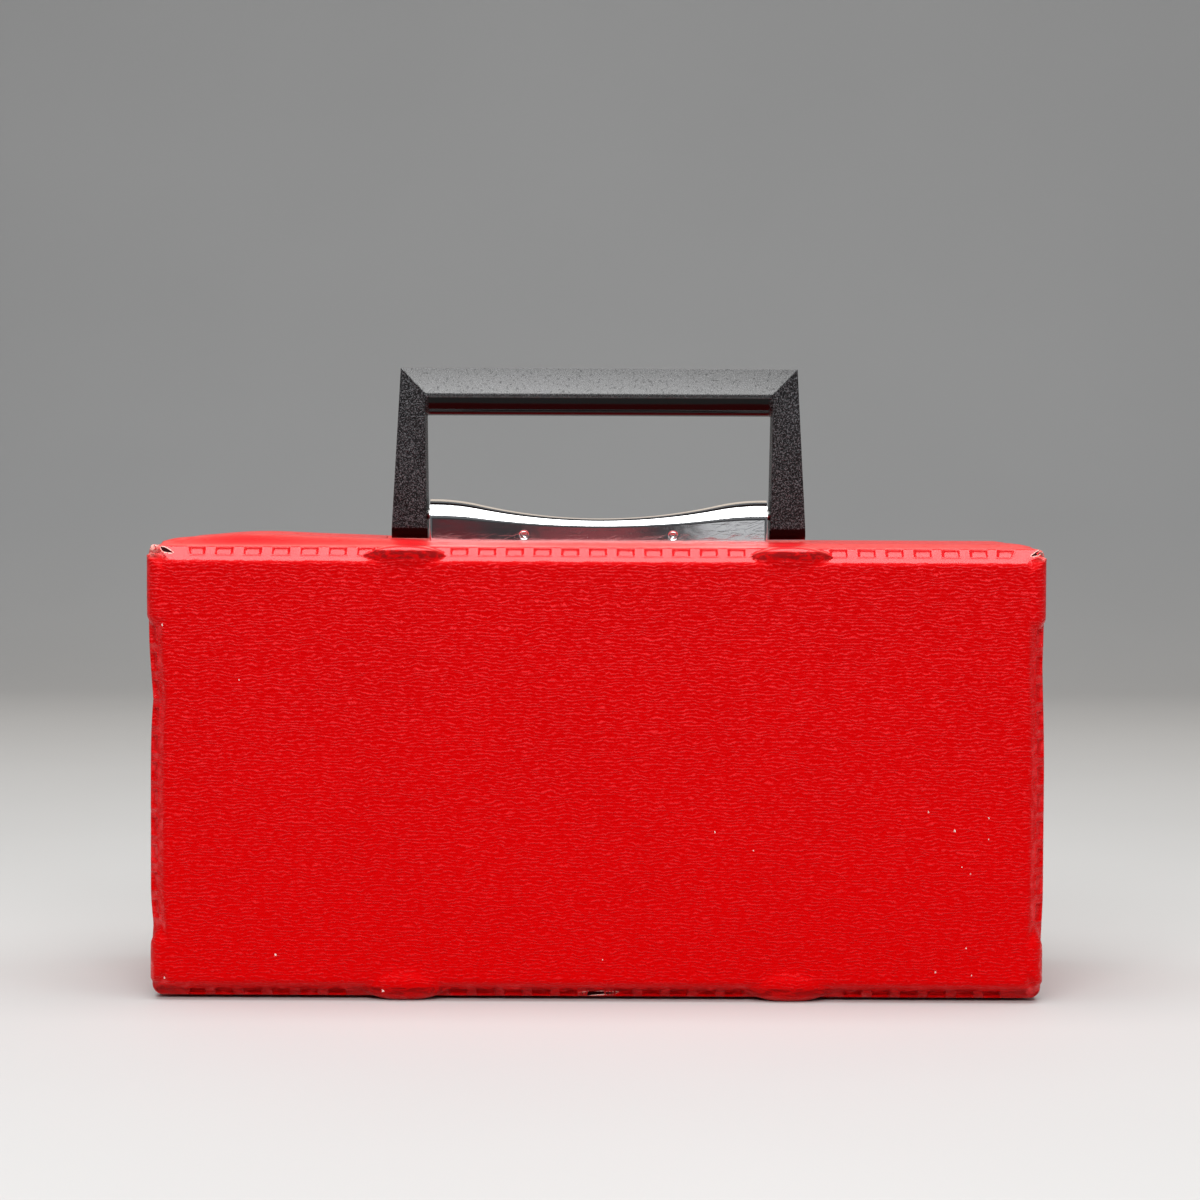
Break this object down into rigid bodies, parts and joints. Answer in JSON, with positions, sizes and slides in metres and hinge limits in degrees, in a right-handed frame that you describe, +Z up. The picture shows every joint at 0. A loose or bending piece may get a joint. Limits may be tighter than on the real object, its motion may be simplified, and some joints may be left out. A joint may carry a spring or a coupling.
{
  "type": "cassette tape case",
  "caption": "Book-style vinyl-covered carrying case for boxed audio cassettes, with a slotted tray, a hinged lid, a folding handle and a chrome hasp.",
  "frame": {"origin": "on the ground, below the middle of the plane where the two halves meet", "axes": "+Z up, +X to the right seen from the front, +Y to the rear half; the lid faces -Y"},
  "size_m": [0.2402, 0.082, 0.171],
  "materials": {
    "vinyl": "embossed grain, semi-gloss vinyl",
    "board": "grey pressed board",
    "lining": "plain printed lining paper",
    "steel": "zinc-plated pressed sheet",
    "tray_plastic": "smooth moulded polystyrene",
    "handle_plastic": "moulded grain",
    "chrome": "bright plated pressed sheet"
  },
  "bodies": {
    "rear": {"rear_skin": "vinyl", "rear_board": "board", "rear_lining": "lining", "hinge_strip_rear": "vinyl", "cassette_tray": "tray_plastic", "handle_bracket": "steel", "bracket_backing_plate": "steel", "bracket_rivets": "steel", "pivot_pin_left": "steel", "pivot_pin_right": "steel"},
    "lid": {"front_skin": "vinyl", "front_board": "board", "front_lining": "lining", "hinge_strip_front": "vinyl", "keeper_plate": "steel", "keeper_backing_plate": "steel", "keeper_rivets": "steel"},
    "hasp": {"hasp_hood": "chrome"},
    "handle": {"handle": "handle_plastic"}
  },
  "joints": [
    {"name": "lid_hinge", "type": "hinge", "parent": "rear", "child": "lid", "pos_m": [0, 0, 0.0001], "axis": [1, 0, 0], "range_deg": [0, 170]},
    {"name": "hasp_hinge", "type": "hinge", "parent": "rear", "child": "hasp", "pos_m": [0, 0, 0.1305], "axis": [-1, 0, 0], "range_deg": [0, 70]},
    {"name": "handle_hinge", "type": "hinge", "parent": "rear", "child": "handle", "pos_m": [0, 0, 0.1305], "axis": [1, 0, 0], "range_deg": [-90, 90]}
  ]
}
